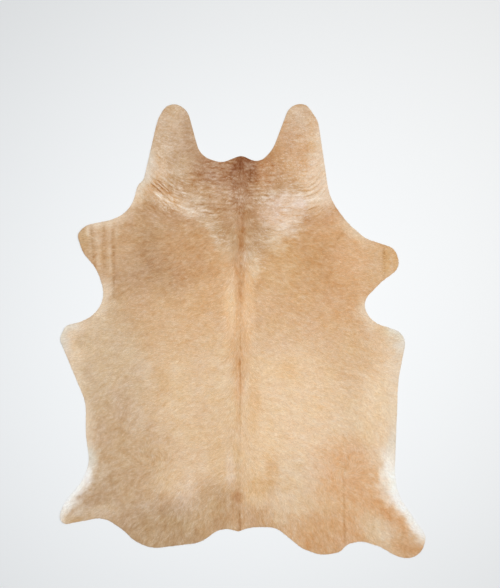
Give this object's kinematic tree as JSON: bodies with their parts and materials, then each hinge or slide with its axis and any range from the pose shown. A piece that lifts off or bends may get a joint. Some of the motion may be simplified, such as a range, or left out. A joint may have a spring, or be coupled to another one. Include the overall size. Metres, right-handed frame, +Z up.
{
  "type": "cowhide rug",
  "caption": "Flat whole-hide rug with two neck flaps, foreleg and hind-leg lobes, a tail stub, short lying hair, neck wrinkles and leg creases, resting hair side up.",
  "frame": {"origin": "middle of the rug's box, on the flat underside", "axes": "+Y along the backbone towards the neck, +Z up out of the hair side, +X towards the hide's right as seen from above with the neck away"},
  "size_m": [1.8202, 2.2624, 0.0067],
  "materials": {
    "hair_on_hide": "short lying hair, golden beige, satin; suede flesh side"
  },
  "bodies": {
    "root": {"hide": "hair_on_hide"}
  },
  "joints": []
}
